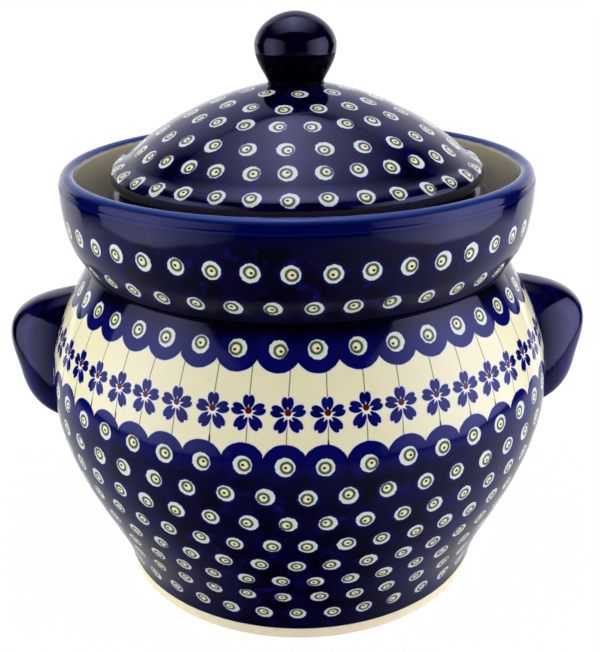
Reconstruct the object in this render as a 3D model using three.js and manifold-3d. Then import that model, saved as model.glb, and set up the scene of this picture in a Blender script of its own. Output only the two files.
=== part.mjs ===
// Stoneware fermentation crock with a water-seal lid, millimetres, +Z up.
// The origin is the centre of the foot, on the surface that the crock stands on.
// Every round piece is turned about Z; the two ear handles stand out along -X and +X.

import * as THREE from 'three';
import { mergeVertices } from 'three/addons/utils/BufferGeometryUtils.js';
import Module from 'manifold-3d';

// Pot: foot, belly, shoulder
const FOOT_RADIUS = 97.2;
const FOOT_EDGE = 1.2;
const FOOT_RING_WIDTH = 11;
const FOOT_RECESS = 2.5;
const FOOT_UPRIGHT = 25.6;
const BELLY_RADIUS = 129.3;
const BELLY_HEIGHT = 106;
const BELLY_SWELL_BELOW = 43.7;
const BELLY_SWELL_ABOVE = 26;
const SHOULDER_RISE = 62.5;
const SHOULDER_LEDGE = 7.2;
const SHOULDER_SLOPE_OUT = 9.9;
const SHOULDER_SLOPE_DOWN = 15;
const POT_WALL = 7;
const POT_FLOOR = 9;
const FLOOR_CORNER = 9;

// Neck and gutter
const MOUTH_RADIUS = 72;
const NECK_WALL = 7;
const NECK_LIP = 2.5;
const NECK_HEADROOM = 3.7;
const NECK_CLEARANCE = 4.3;
const GUTTER_FLOOR_RISE = 7.5;
const GUTTER_FLOOR_THICKNESS = 10;
const SKIRT_CLEARANCE = 1.4;

// Collar: the outer wall of the gutter
const COLLAR_RISE = 46.9;
const COLLAR_FOOT_FLARE = 14.5;
const COLLAR_FLARE = 11.1;
const COLLAR_SWELL_DROP = 5.8;
const COLLAR_LIP_INSET = 4.6;
const COLLAR_LIP_THICKNESS = 7.6;
const COLLAR_WALL = 8.4;

// Lid
const SKIRT_OVERHANG = 3.6;
const SKIRT_SPREAD = 1;
const SKIRT_RISE = 21;
const SKIRT_SHOULDER = 7;
const LID_WALL = 6.5;
const GROOVE_DEPTH = 2.2;
const GROOVE_HEIGHT = 1.6;
const FLANGE_LIP = 6;
const FLANGE_ROUND_OUT = 7.1;
const FLANGE_ROUND_UP = 6.1;
const DOME_RISE = 34.6;
const CROWN_LEDGE = 0.5;
const CROWN_FALL = 5.8;
const DOME_FLATNESS = 33.5;
const DOME_SHOULDER_OUT = 9.5;
const DOME_SHOULDER_UP = 10.1;
const VENT_RADIUS = 5;

// Knob
const KNOB_BASE_RADIUS = 13;
const KNOB_RADIUS = 19.7;
const KNOB_RISE = 33.6;
const KNOB_WIDEST_RISE = 17.9;

// Ear handles
const HANDLE_REACH = 22;
const HANDLE_HALF_WIDTH = 30;
const HANDLE_ARCH = 2.4;
const HANDLE_CREST = 1.5;
const HANDLE_TOP_DROP = 21;
const HANDLE_WIDEST_DROP = 41.3;
const HANDLE_LIP_DROP = 60.7;
const HANDLE_HEIGHT = 86.5;
const HANDLE_LEAN = 3.7;
const HANDLE_SHELL = 6;
const HANDLE_ROOT_DEPTH = 2.8;
const HANDLE_SQUARENESS = 2.5;
const POCKET_SQUARENESS = 3.2;

// Half-moon weights
const WEIGHT_CLEARANCE = 6.2;
const WEIGHT_THICKNESS = 16;
const WEIGHT_EDGE = 2;
const WEIGHT_GAP = 3;
const FINGER_NOTCH_RADIUS = 11;

// Slip joint between pieces of clay that are luted together
const SLIP_GAP = 0.3;

// Fineness of the turned and lofted surfaces
const TURN_STEPS = 48;
const KNOB_TURN_STEPS = 24;
const CURVE_STEPS = 9;
const HIDDEN_CURVE_STEPS = 6;
const HANDLE_ROUND_STEPS = 16;

// Radii and heights that several pieces share, worked outwards from the mouth and upwards from the foot
const neckRadius = MOUTH_RADIUS + NECK_WALL;
const lidInsideRadius = neckRadius + NECK_CLEARANCE;
const grooveRadius = lidInsideRadius + LID_WALL;
const flangeRadius = grooveRadius + GROOVE_DEPTH;
const skirtRadius = flangeRadius + SKIRT_OVERHANG;
const skirtFootRadius = skirtRadius + SKIRT_SPREAD;
const registerRadius = skirtFootRadius + SKIRT_CLEARANCE;
const shoulderRadius = registerRadius + SHOULDER_LEDGE;
const crownRadius = KNOB_BASE_RADIUS + CROWN_LEDGE;
const shoulderHeight = BELLY_HEIGHT + SHOULDER_RISE;
const gutterFloorHeight = shoulderHeight + GUTTER_FLOOR_RISE;
const skirtTopHeight = gutterFloorHeight + SKIRT_RISE;
const grooveHeight = skirtTopHeight + SKIRT_SHOULDER;
const flangeEdgeHeight = grooveHeight + GROOVE_HEIGHT;
const flangeWidestHeight = flangeEdgeHeight + FLANGE_LIP;
const neckTopHeight = flangeWidestHeight - NECK_HEADROOM;
const domeFootHeight = flangeWidestHeight + FLANGE_ROUND_UP;
const crownHeight = domeFootHeight + DOME_RISE;

const wasm = await Module();
wasm.setup();

const point = (r, z) => new THREE.Vector2(r, z);

// Points along a cubic curve, without its first point when it continues another stretch
function curve(start, startPull, endPull, end, { steps = CURVE_STEPS, continues = false } = {}) {
  const points = new THREE.CubicBezierCurve(start, startPull, endPull, end).getPoints(steps);
  return continues ? points.slice(1) : points;
}

// Points along an elliptical arc, angles in radians from the +r direction
function arc(centre, outRadius, upRadius, from, to, steps) {
  const clockwise = to < from;
  return new THREE.EllipseCurve(centre.x, centre.y, outRadius, upRadius, from, to, clockwise).getPoints(steps);
}

// A solid turned about Z from its half section, listed from the axis underneath, up the outside
function turned(profile, steps = TURN_STEPS) {
  return new THREE.LatheGeometry(profile, steps).rotateX(Math.PI / 2);
}

// Geometry to and from the solids that are cut
function toSolid(geometry) {
  const bare = geometry.index ? geometry.clone() : geometry.toNonIndexed();
  bare.deleteAttribute('normal');
  bare.deleteAttribute('uv');
  const merged = mergeVertices(bare, 1e-4);
  const corners = merged.index.array;
  const kept = [];
  for (let i = 0; i < corners.length; i += 3) {
    const [a, b, c] = [corners[i], corners[i + 1], corners[i + 2]];
    if (a !== b && b !== c && c !== a) kept.push(a, b, c);
  }
  return new wasm.Manifold(new wasm.Mesh({
    numProp: 3,
    vertProperties: Float32Array.from(merged.attributes.position.array),
    triVerts: Uint32Array.from(kept),
  }));
}

function toGeometry(solid) {
  const mesh = solid.getMesh();
  const geometry = new THREE.BufferGeometry();
  geometry.setAttribute('position', new THREE.BufferAttribute(Float32Array.from(mesh.vertProperties), 3));
  geometry.setIndex(Array.from(mesh.triVerts));
  geometry.computeVertexNormals();
  return geometry;
}

// Outer face of the pot from the foot to the crease under the collar, moved outwards by an offset
function potOutside(offset = 0) {
  const foot = point(FOOT_RADIUS + offset, FOOT_EDGE);
  const belly = point(BELLY_RADIUS + offset, BELLY_HEIGHT);
  const crease = point(shoulderRadius + offset, shoulderHeight);
  const rising = curve(
    foot,
    point(foot.x, FOOT_EDGE + FOOT_UPRIGHT),
    point(belly.x, BELLY_HEIGHT - BELLY_SWELL_BELOW),
    belly,
    { steps: CURVE_STEPS + 3 },
  );
  const closing = curve(
    belly,
    point(belly.x, BELLY_HEIGHT + BELLY_SWELL_ABOVE),
    point(crease.x + SHOULDER_SLOPE_OUT, shoulderHeight - SHOULDER_SLOPE_DOWN),
    crease,
    { continues: true },
  );
  return [...rising, ...closing];
}

// Outer radius of the pot at a height
function potRadiusAt(height) {
  const outline = potOutside();
  const next = outline.findIndex((place) => place.y >= height);
  const [low, high] = [outline[next - 1], outline[next]];
  return low.x + ((high.x - low.x) * (height - low.y)) / (high.y - low.y);
}

// Pot: a hollow turned form with a foot ring, closing to a neck inside the gutter
function crockBody() {
  const ringInside = FOOT_RADIUS - FOOT_RING_WIDTH;
  const underside = [
    point(0, FOOT_RECESS),
    point(ringInside - FOOT_RECESS, FOOT_RECESS),
    point(ringInside, 0),
    point(FOOT_RADIUS - FOOT_EDGE, 0),
  ];
  const gutterAndNeck = [
    point(registerRadius, shoulderHeight),
    point(registerRadius, gutterFloorHeight),
    point(neckRadius, gutterFloorHeight),
    point(neckRadius, neckTopHeight - NECK_LIP),
    point(neckRadius - NECK_LIP, neckTopHeight),
    point(MOUTH_RADIUS + NECK_LIP, neckTopHeight),
    point(MOUTH_RADIUS, neckTopHeight - NECK_LIP),
  ];
  const ceiling = gutterFloorHeight - GUTTER_FLOOR_THICKNESS;
  const insideBelly = point(BELLY_RADIUS - POT_WALL, BELLY_HEIGHT);
  const insideFoot = point(FOOT_RADIUS - POT_WALL, POT_FLOOR + FLOOR_CORNER);
  const underShoulder = curve(
    point(MOUTH_RADIUS, ceiling),
    point(shoulderRadius - POT_WALL, ceiling),
    point(insideBelly.x, BELLY_HEIGHT + BELLY_SWELL_ABOVE),
    insideBelly,
    { steps: HIDDEN_CURVE_STEPS },
  );
  const insideWall = curve(
    insideBelly,
    point(insideBelly.x, BELLY_HEIGHT - BELLY_SWELL_BELOW),
    point(insideFoot.x, FOOT_EDGE + FOOT_UPRIGHT),
    insideFoot,
    { steps: HIDDEN_CURVE_STEPS, continues: true },
  );
  const floorCorner = curve(
    insideFoot,
    point(insideFoot.x, POT_FLOOR),
    point(insideFoot.x, POT_FLOOR),
    point(insideFoot.x - FLOOR_CORNER, POT_FLOOR),
    { steps: 4, continues: true },
  );
  const profile = [
    ...underside,
    ...potOutside(),
    ...gutterAndNeck,
    ...underShoulder,
    ...insideWall,
    ...floorCorner,
    point(0, POT_FLOOR),
  ];
  return turned(profile);
}

// Collar: stands on the shoulder round the register and flares to a rolled lip
function waterCollar() {
  const rollRadius = COLLAR_LIP_THICKNESS / 2;
  const topHeight = shoulderHeight + COLLAR_RISE;
  const swellRadius = shoulderRadius + COLLAR_FLARE;
  const lipCentre = point(swellRadius - COLLAR_LIP_INSET, topHeight - rollRadius);
  const swellHeight = topHeight - COLLAR_SWELL_DROP;
  const flareHeight = shoulderHeight + COLLAR_FOOT_FLARE;
  const bore = registerRadius + SLIP_GAP;
  const swell = point(swellRadius, swellHeight);
  const outside = curve(
    point(shoulderRadius, shoulderHeight),
    point(shoulderRadius + COLLAR_FOOT_FLARE / 3, flareHeight - COLLAR_FOOT_FLARE / 3),
    point(swellRadius, flareHeight - COLLAR_FOOT_FLARE / 3),
    swell,
  );
  const roll = arc(lipCentre, rollRadius, rollRadius, 0, Math.PI, 8);
  const inside = curve(
    point(swellRadius - COLLAR_WALL, swellHeight),
    point(swellRadius - COLLAR_WALL, flareHeight),
    point(bore + COLLAR_WALL / 2, gutterFloorHeight + COLLAR_WALL),
    point(bore, gutterFloorHeight),
    { steps: HIDDEN_CURVE_STEPS },
  );
  const footFace = point(bore, shoulderHeight);
  return turned([...outside, ...roll, ...inside, footFace, outside[0].clone()]);
}

// Lid: a domed cap with a rounded flange, a groove under it and a skirt that stands in the gutter
function lidCap() {
  const flangeCentre = point(flangeRadius - FLANGE_ROUND_OUT, flangeWidestHeight);
  const domeFoot = point(flangeCentre.x, domeFootHeight);
  const skirt = [
    point(skirtFootRadius - LID_WALL, gutterFloorHeight),
    point(skirtFootRadius, gutterFloorHeight),
    ...curve(
      point(skirtRadius, skirtTopHeight),
      point(skirtRadius - SKIRT_SPREAD, skirtTopHeight + SKIRT_SHOULDER / 2),
      point(flangeRadius, grooveHeight),
      point(grooveRadius, grooveHeight),
      { steps: 5 },
    ),
  ];
  const flange = [
    point(flangeRadius, flangeEdgeHeight),
    ...arc(flangeCentre, FLANGE_ROUND_OUT, FLANGE_ROUND_UP, 0, Math.PI / 2, 6),
  ];
  const dome = curve(
    domeFoot,
    point(domeFoot.x - DOME_SHOULDER_OUT, domeFoot.y + DOME_SHOULDER_UP),
    point(crownRadius + DOME_FLATNESS, crownHeight - CROWN_FALL),
    point(crownRadius, crownHeight),
    { continues: true },
  );
  const underDome = curve(
    point(0, crownHeight - LID_WALL),
    point(crownRadius + DOME_FLATNESS, crownHeight - CROWN_FALL - LID_WALL),
    point(lidInsideRadius - DOME_SHOULDER_OUT, domeFoot.y + DOME_SHOULDER_UP - LID_WALL),
    point(lidInsideRadius, flangeWidestHeight),
    { steps: HIDDEN_CURVE_STEPS },
  );
  const insideSkirt = [
    point(lidInsideRadius, grooveHeight),
    point(skirtRadius - LID_WALL, skirtTopHeight),
  ];
  const outside = [...skirt, ...flange, ...dome, point(0, crownHeight)];
  const inside = [...underDome, ...insideSkirt, skirt[0].clone()];
  const cap = toSolid(turned([...outside, ...inside]));
  // Two half-round vents in the skirt's lower edge let gas out through the water
  const ventRod = new THREE.CylinderGeometry(VENT_RADIUS, VENT_RADIUS, 2 * skirtFootRadius + LID_WALL, 16);
  ventRod.translate(0, 0, gutterFloorHeight);
  return toGeometry(cap.subtract(toSolid(ventRod)));
}

// Knob: a pear-shaped turned grip on the crown of the lid
function lidKnob() {
  const widest = point(KNOB_RADIUS, KNOB_WIDEST_RISE);
  const neck = curve(
    point(KNOB_BASE_RADIUS, 0),
    point(KNOB_BASE_RADIUS, KNOB_WIDEST_RISE / 2),
    point(KNOB_RADIUS, KNOB_WIDEST_RISE / 2),
    widest,
    { steps: 6 },
  );
  const cap = curve(
    widest,
    point(KNOB_RADIUS, (KNOB_WIDEST_RISE + KNOB_RISE) / 2),
    point(KNOB_RADIUS / 2, KNOB_RISE),
    point(0, KNOB_RISE),
    { steps: 7, continues: true },
  );
  return turned([point(0, 0), ...neck, ...cap], KNOB_TURN_STEPS).translate(0, 0, crownHeight);
}

// A solid through level sections: each is a rounded lug outline that starts from the plane x = root
// and narrows upwards like an arch whose crown is at archTop
function lugLoft(sideProfile, root, halfWidth, archTop, squareness) {
  const positions = [];
  const ringSize = HANDLE_ROUND_STEPS + 1;
  const low = sideProfile[0].y;
  for (const side of sideProfile) {
    const rise = (side.y - low) / (archTop - low);
    const half = halfWidth * (1 - rise ** HANDLE_ARCH) ** (1 / HANDLE_ARCH);
    for (let i = 0; i < ringSize; i += 1) {
      const angle = -Math.PI / 2 + (Math.PI * i) / HANDLE_ROUND_STEPS;
      const across = Math.sign(Math.sin(angle)) * Math.abs(Math.sin(angle)) ** (2 / squareness);
      const outward = Math.abs(Math.cos(angle)) ** (2 / squareness);
      positions.push(root + (side.x - root) * outward, half * across, side.y);
    }
  }
  const index = [];
  const rings = sideProfile.length;
  for (let ring = 0; ring + 1 < rings; ring += 1) {
    for (let i = 0; i < ringSize; i += 1) {
      const a = ring * ringSize + i;
      const b = ring * ringSize + ((i + 1) % ringSize);
      index.push(a, b, b + ringSize, a, b + ringSize, a + ringSize);
    }
  }
  const top = (rings - 1) * ringSize;
  for (let i = 1; i + 1 < ringSize; i += 1) {
    index.push(0, i + 1, i, top, top + i, top + i + 1);
  }
  const geometry = new THREE.BufferGeometry();
  geometry.setAttribute('position', new THREE.Float32BufferAttribute(positions, 3));
  geometry.setIndex(index);
  return geometry;
}

// Ear handle on +X: an arched, pressed shell with a finger pocket open underneath, seated on the belly
function earHandle() {
  const reach = BELLY_RADIUS + HANDLE_REACH;
  const top = shoulderHeight - HANDLE_TOP_DROP;
  const root = potRadiusAt(top) - HANDLE_ROOT_DEPTH;
  const widest = point(reach, shoulderHeight - HANDLE_WIDEST_DROP);
  const lip = point(reach - HANDLE_LEAN, shoulderHeight - HANDLE_LIP_DROP);
  const bottom = point(BELLY_RADIUS - POT_WALL, shoulderHeight - HANDLE_HEIGHT);
  const drop = top - widest.y;

  const under = curve(
    bottom,
    point((bottom.x * 3 + lip.x * 2) / 5, (bottom.y * 4 + lip.y) / 5),
    point(lip.x - HANDLE_SHELL / 3, (bottom.y + lip.y) / 2),
    lip,
    { steps: 5 },
  );
  const over = curve(
    widest,
    point(widest.x, widest.y + (drop * 2) / 3),
    point((root + reach * 3) / 4, top),
    point(root + HANDLE_SHELL, top),
    { steps: 7 },
  );
  const outsideLoft = lugLoft(
    [...under, ...over],
    root,
    HANDLE_HALF_WIDTH,
    top + HANDLE_CREST,
    HANDLE_SQUARENESS,
  );

  const pocketTop = top - HANDLE_SHELL;
  const pocketWidest = point(widest.x - HANDLE_SHELL, widest.y - HANDLE_SHELL / 2);
  const pocketLip = point(lip.x - HANDLE_SHELL, lip.y);
  const pocketOver = curve(
    pocketWidest,
    point(pocketWidest.x, pocketWidest.y + drop / 2),
    point((root + pocketWidest.x * 2) / 3, pocketTop),
    point(root + HANDLE_SHELL, pocketTop),
    { steps: 5 },
  );
  const pocketSide = [point(pocketLip.x, bottom.y - HANDLE_SHELL), pocketLip, ...pocketOver];
  const pocketLoft = lugLoft(
    pocketSide,
    root,
    HANDLE_HALF_WIDTH - HANDLE_SHELL,
    pocketTop + HANDLE_CREST,
    POCKET_SQUARENESS,
  );

  const seatProfile = [point(0, 0), ...potOutside(SLIP_GAP), point(0, shoulderHeight)];
  const seat = toSolid(turned(seatProfile));
  return toGeometry(toSolid(outsideLoft).subtract(toSolid(pocketLoft)).subtract(seat));
}

// Half-moon weight on the +X side, lying on the pot floor with a finger notch in its straight edge
function halfMoonWeight() {
  const straightEdge = WEIGHT_GAP / 2;
  const outline = new THREE.Shape();
  const floorRadius = FOOT_RADIUS - POT_WALL - FLOOR_CORNER;
  const faceRadius = floorRadius - WEIGHT_CLEARANCE - WEIGHT_EDGE;
  const notch = FINGER_NOTCH_RADIUS + WEIGHT_EDGE;
  const inset = straightEdge + WEIGHT_EDGE;
  const sweep = Math.acos(inset / faceRadius);
  outline.moveTo(inset, -notch);
  outline.lineTo(inset, -faceRadius * Math.sin(sweep));
  outline.absarc(0, 0, faceRadius, -sweep, sweep, false);
  outline.lineTo(inset, notch);
  outline.absarc(inset, 0, notch, Math.PI / 2, -Math.PI / 2, true);
  const slab = new THREE.ExtrudeGeometry(outline, {
    depth: WEIGHT_THICKNESS - 2 * WEIGHT_EDGE,
    bevelThickness: WEIGHT_EDGE,
    bevelSize: WEIGHT_EDGE,
    bevelSegments: 1,
    curveSegments: 14,
  });
  return slab.translate(0, 0, POT_FLOOR + WEIGHT_EDGE);
}

const glaze = (color, roughness) => new THREE.MeshStandardMaterial({ color, roughness, metalness: 0 });

const crock = new THREE.Group();

function addPiece(name, geometry, material, turn = 0) {
  const mesh = new THREE.Mesh(geometry, material);
  mesh.name = name;
  mesh.rotation.z = turn;
  crock.add(mesh);
}

addPiece('crock_body', crockBody(), glaze(0x1b1d66, 0.15));
addPiece('water_collar', waterCollar(), glaze(0x1a1c62, 0.15));
addPiece('handle_right', earHandle(), glaze(0x14155a, 0.12));
addPiece('handle_left', earHandle(), glaze(0x14155a, 0.12), Math.PI);
addPiece('lid_cap', lidCap(), glaze(0x1a1c62, 0.15));
addPiece('lid_knob', lidKnob(), glaze(0x14155a, 0.12));
addPiece('weight_right', halfMoonWeight(), glaze(0xd8cfba, 0.6));
addPiece('weight_left', halfMoonWeight(), glaze(0xd8cfba, 0.6), Math.PI);

export default crock;
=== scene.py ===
import math

import bpy
from mathutils import Matrix, Vector


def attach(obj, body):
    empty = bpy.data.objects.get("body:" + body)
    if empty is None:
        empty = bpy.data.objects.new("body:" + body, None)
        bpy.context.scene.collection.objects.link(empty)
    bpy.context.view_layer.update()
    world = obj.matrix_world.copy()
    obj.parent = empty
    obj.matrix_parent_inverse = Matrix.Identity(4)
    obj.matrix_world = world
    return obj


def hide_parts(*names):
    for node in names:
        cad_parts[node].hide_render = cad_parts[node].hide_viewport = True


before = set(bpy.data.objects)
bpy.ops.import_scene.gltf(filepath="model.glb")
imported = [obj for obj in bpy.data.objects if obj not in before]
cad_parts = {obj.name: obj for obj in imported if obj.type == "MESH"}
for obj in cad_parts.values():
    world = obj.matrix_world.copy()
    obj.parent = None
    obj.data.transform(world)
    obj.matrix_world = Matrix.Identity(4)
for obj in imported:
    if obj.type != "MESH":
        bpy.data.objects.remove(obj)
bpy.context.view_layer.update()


# The pot is thrown in stoneware: a foot ring, a round belly and a shoulder that closes to a neck.
# Its outside is stamped and painted in cobalt on a cream ground under a clear glaze, the gutter, the
# neck and the inside are only clear glazed, and the foot is wiped bare before it is fired.

# Sizes are in millimetres, and a point on a half section is its radius and its height
MM = 0.001
TURN_STEPS = 256
EASE_STEPS = 5
EASE_SHARE = 0.48
SHARP_DEGREES = 35
FOOT = (97.2, 1.2)
FOOT_HOLLOW = 2.5
FOOT_EASE = 1.0
BELLY = (129.3, 106.0)
CREASE = (105.2, 168.5)
CREASE_LENGTH = 178.3
REGISTER = 98.0
GUTTER_FLOOR = 176.0
NECK_OUTSIDE = 79.0
NECK_INSIDE = 72.0
NECK_BRIM = 207.9
BRIM_EASE = 3.0
INNER_SHOULDER = (98.5, 154.4)
INNER_BELLY = (122.3, 106.0)
INNER_FOOT = (90.2, 18.0)
POT_FLOOR = 9.0
GLAZE_EDGE = 5.3
GLAZE_STEP = 0.8
GLAZE_THICKNESS = 0.4


def curve(start, start_pull, end_pull, end, steps):
    """Points of a cubic curve as (radius, height)."""
    knots = (start, start_pull, end_pull, end)
    points = []
    for i in range(steps + 1):
        t = i / steps
        shares = ((1 - t) ** 3, 3 * t * (1 - t) ** 2, 3 * t * t * (1 - t), t ** 3)
        points.append(tuple(sum(s * k[axis] for s, k in zip(shares, knots)) for axis in (0, 1)))
    return points


def eased(corners, ease):
    """A line through corners, with each inner corner rounded off over the length ease, or over most of
    half a side where that is shorter."""
    points = [corners[0]]
    for before, corner, after in zip(corners, corners[1:], corners[2:]):
        middle = Vector(corner)
        ends = []
        for other in (Vector(before), Vector(after)):
            reach = min(ease, (other - middle).length * EASE_SHARE)
            ends.append(middle + (other - middle).normalized() * reach)
        for i in range(EASE_STEPS + 1):
            t = i / EASE_STEPS
            spot = ends[0] * (1 - t) ** 2 + middle * (2 * t * (1 - t)) + ends[1] * t ** 2
            points.append((spot.x, spot.y))
    points.append(corners[-1])
    return points


def lengths_along(profile):
    """The length on a half section from its first point to each point."""
    lengths = [0.0]
    for one, other in zip(profile, profile[1:]):
        lengths.append(lengths[-1] + math.dist(one, other))
    return lengths


def placed(name, mesh):
    """An object for a mesh, shaded smooth except at its sharp edges."""
    mesh.validate()
    mesh.shade_smooth()
    mesh.set_sharp_from_angle(angle=math.radians(SHARP_DEGREES))
    piece = bpy.data.objects.new(name, mesh)
    bpy.context.scene.collection.objects.link(piece)
    return piece


def turned(name, profile, start=(0.0, 0.0), closed=False):
    """A closed mesh turned about Z from a half section, which is listed from the axis underneath and up
    the outside. Its attribute along is the length on the section from the point nearest start."""
    lengths = lengths_along(profile)
    nearest = min(range(len(profile)), key=lambda i: math.dist(profile[i], start))
    vertices = []
    along = []
    rings = []
    for (radius, height), length in zip(profile, lengths):
        count = TURN_STEPS if radius > 0 else 1
        rings.append([len(vertices) + i for i in range(count)])
        for i in range(count):
            angle = math.tau * i / TURN_STEPS
            vertices.append((radius * math.cos(angle) * MM, radius * math.sin(angle) * MM, height * MM))
            along.append(length - lengths[nearest])
    pairs = list(zip(rings, rings[1:]))
    if closed:
        pairs.append((rings[-1], rings[0]))
    faces = []
    for lower, upper in pairs:
        for i in range(TURN_STEPS):
            corners = [ring[(i + step) % len(ring)] for ring, step in
                       ((lower, 0), (lower, 1), (upper, 1), (upper, 0))]
            faces.append(list(dict.fromkeys(corners)))
    mesh = bpy.data.meshes.new(name)
    mesh.from_pydata(vertices, [], faces)
    mesh.attributes.new("along", "FLOAT", "POINT").data.foreach_set("value", along)
    return placed(name, mesh)


pot_outside = (
    curve(FOOT, (FOOT[0], 26.8), (BELLY[0], 62.3), BELLY, 100)
    + curve(BELLY, (BELLY[0], 132.0), (115.1, 153.5), CREASE, 64)[1:]
)


def pot_section():
    """Half section of the pot: foot, outside, gutter floor, neck and inside."""
    underside = eased([
        (0.0, FOOT_HOLLOW), (83.7, FOOT_HOLLOW), (86.2, 0.0), (96.0, 0.0), FOOT,
    ], FOOT_EASE)
    outside = []
    for (radius, height), length in zip(pot_outside, lengths_along(pot_outside)):
        rise = min(max((length - GLAZE_EDGE + GLAZE_STEP / 2) / GLAZE_STEP, 0), 1)
        outside.append((radius - GLAZE_THICKNESS * (1 - rise), height))
    brim = eased([
        outside[-3], CREASE, (REGISTER, CREASE[1]), (REGISTER, GUTTER_FLOOR),
        (NECK_OUTSIDE, GUTTER_FLOOR), (NECK_OUTSIDE, NECK_BRIM),
        (NECK_INSIDE, NECK_BRIM), (NECK_INSIDE, GUTTER_FLOOR + 2.0),
    ], BRIM_EASE)
    ceiling = curve((NECK_INSIDE, GUTTER_FLOOR), (NECK_INSIDE, 162.0), (90.0, 166.0), INNER_SHOULDER, 20)
    inside = (
        curve(INNER_SHOULDER, (112.0, 136.0), (INNER_BELLY[0], 128.0), INNER_BELLY, 30)
        + curve(INNER_BELLY, (INNER_BELLY[0], 62.3), (INNER_FOOT[0], 26.8), INNER_FOOT, 40)[1:]
        + curve(INNER_FOOT, (INNER_FOOT[0], 12.0), (87.0, POT_FLOOR), (81.2, POT_FLOOR), 8)[1:]
    )
    return underside[:-1] + outside[:-2] + brim[1:] + ceiling + inside[1:] + [(0.0, POT_FLOOR)]


crock_body = turned("crock_body_glazed", pot_section(), FOOT)


class Wire:
    """A shader socket that can stand in Python expressions; each operation adds its Math node."""

    def __init__(self, tree, socket=None):
        self.tree = tree
        self.socket = socket

    def node(self, kind, settings, inputs, output=0):
        """Adds a node of a type: its settings first, then the values or links of its sockets."""
        added = self.tree.nodes.new(kind)
        for name, value in settings.items():
            setattr(added, name, value)
        for key, value in inputs.items():
            if isinstance(value, Wire):
                self.tree.links.new(value.socket, added.inputs[key])
            else:
                added.inputs[key].default_value = value
        return Wire(self.tree, added.outputs[output])

    def other(self, output):
        """Another output of the same node."""
        return Wire(self.tree, self.socket.node.outputs[output])

    def feed(self, node, name):
        """Links this value to a named input of a node."""
        self.tree.links.new(self.socket, node.inputs[name])

    def math(self, operation, *others, clamp=False):
        """A Math node on this value and others."""
        inputs = dict(enumerate((self, *others)))
        return self.node("ShaderNodeMath", {"operation": operation, "use_clamp": clamp}, inputs)

    def __add__(self, other):
        return self.math("ADD", other)

    __radd__ = __add__

    def __sub__(self, other):
        return self.math("SUBTRACT", other)

    def __rsub__(self, other):
        return self.node("ShaderNodeMath", {"operation": "SUBTRACT"}, {0: other, 1: self})

    def __mul__(self, other):
        return self.math("MULTIPLY", other)

    __rmul__ = __mul__

    def __truediv__(self, other):
        return self.math("DIVIDE", other)

    def __rtruediv__(self, other):
        return self.node("ShaderNodeMath", {"operation": "DIVIDE"}, {0: other, 1: self})

    def __gt__(self, other):
        return self.math("GREATER_THAN", other)

    def __abs__(self):
        return self.math("ABSOLUTE")

    def most(self, other):
        """The greater of this value and another."""
        return self.math("MAXIMUM", other)

    def clamped(self):
        """This value, kept from 0 to 1."""
        return self.math("ADD", 0.0, clamp=True)

    def below(self, limit, soft):
        """1 where this value is under the limit and 0 over it, with a soft edge of that width."""
        return (limit - self).math("MULTIPLY_ADD", 1 / soft, 0.5, clamp=True)

    def paint(self, under, over):
        """The colour under, covered by the colour over where this mask is 1."""
        return self.node("ShaderNodeMix", {"data_type": "RGBA"}, {0: self, 6: under, 7: over}, 2)

    def cloud(self, size, detail=2.0):
        """Cloudy noise round 0 at this place, in blotches of about a size in millimetres."""
        inputs = {"Vector": self, "Scale": 1 / (size * MM), "Detail": detail}
        return self.node("ShaderNodeTexNoise", {}, inputs) - 0.5

    def patches(self, size, detail, contrast=1.0, middle=0.5):
        """Cloudy noise as patches from 0 to 1, with a contrast about a middle value."""
        return (self.cloud(size, detail) * contrast + middle).clamped()


def distance(right, up):
    """How far off a point is that lies so far to the right and so far up."""
    return (right * right + up * up).math("SQRT")


def srgb(red, green, blue):
    """A linear colour from its display values, 0 to 255, by the sRGB curve."""
    def linear(value):
        share = value / 255
        return share / 12.92 if share <= 0.04045 else ((share + 0.055) / 1.055) ** 2.4
    return linear(red), linear(green), linear(blue), 1.0


GLAZE_IOR = 1.5
GLAZE_ROUGHNESS = 0.07
GLAZE_RELIEF = 0.25
CLAY_DULLNESS = 0.7
CLEAR_GLAZE = srgb(222, 214, 180)
CLEAR_GLAZE_DEEP = srgb(212, 203, 168)


def new_glaze(name):
    """A material with its Principled shader, and the place on the piece as a Wire."""
    material = bpy.data.materials.new(name)
    material.use_nodes = True
    shader = material.node_tree.nodes["Principled BSDF"]
    shader.inputs["IOR"].default_value = GLAZE_IOR
    place = Wire(material.node_tree).node("ShaderNodeTexCoord", {}, {}, "Object")
    return material, shader, place


def raise_relief(shader, height, depth):
    """Bumps a surface by a height that changes over it; depth is in millimetres."""
    inputs = {"Height": height, "Strength": 1.0, "Distance": depth * MM}
    height.node("ShaderNodeBump", {}, inputs).feed(shader, "Normal")


def glaze_relief(place, shader, depth=GLAZE_RELIEF):
    """The faint unevenness of a hand-dipped glaze."""
    ripple = place.cloud(22.0, 1.0) + place.cloud(4.0, 1.0) * 0.05
    raise_relief(shader, ripple, depth)


def glaze_finish(place, shader, dullness):
    """Roughness of a stamped and dipped piece, raised by its dullness, and its relief."""
    (dullness + GLAZE_ROUGHNESS + place.cloud(9.0) * 0.02).feed(shader, "Roughness")
    glaze_relief(place, shader)


def clear_lining(place):
    """The clear glaze over pale stoneware inside the pot, in the gutter and under the lid."""
    return place.patches(10.0, 4.0).paint(CLEAR_GLAZE, CLEAR_GLAZE_DEEP)


def round_places(place):
    """On a turned piece: turns from the front, radius and length along the section, in millimetres."""
    x = place.node("ShaderNodeSeparateXYZ", {}, {0: place})
    y = x.other("Y")
    turns = x.math("ARCTAN2", 0 - y) / math.tau
    radius = distance(x, y) / MM
    along = place.node("ShaderNodeAttribute", {"attribute_name": "along"}, {}, "Fac")
    return turns, radius, along


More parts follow.
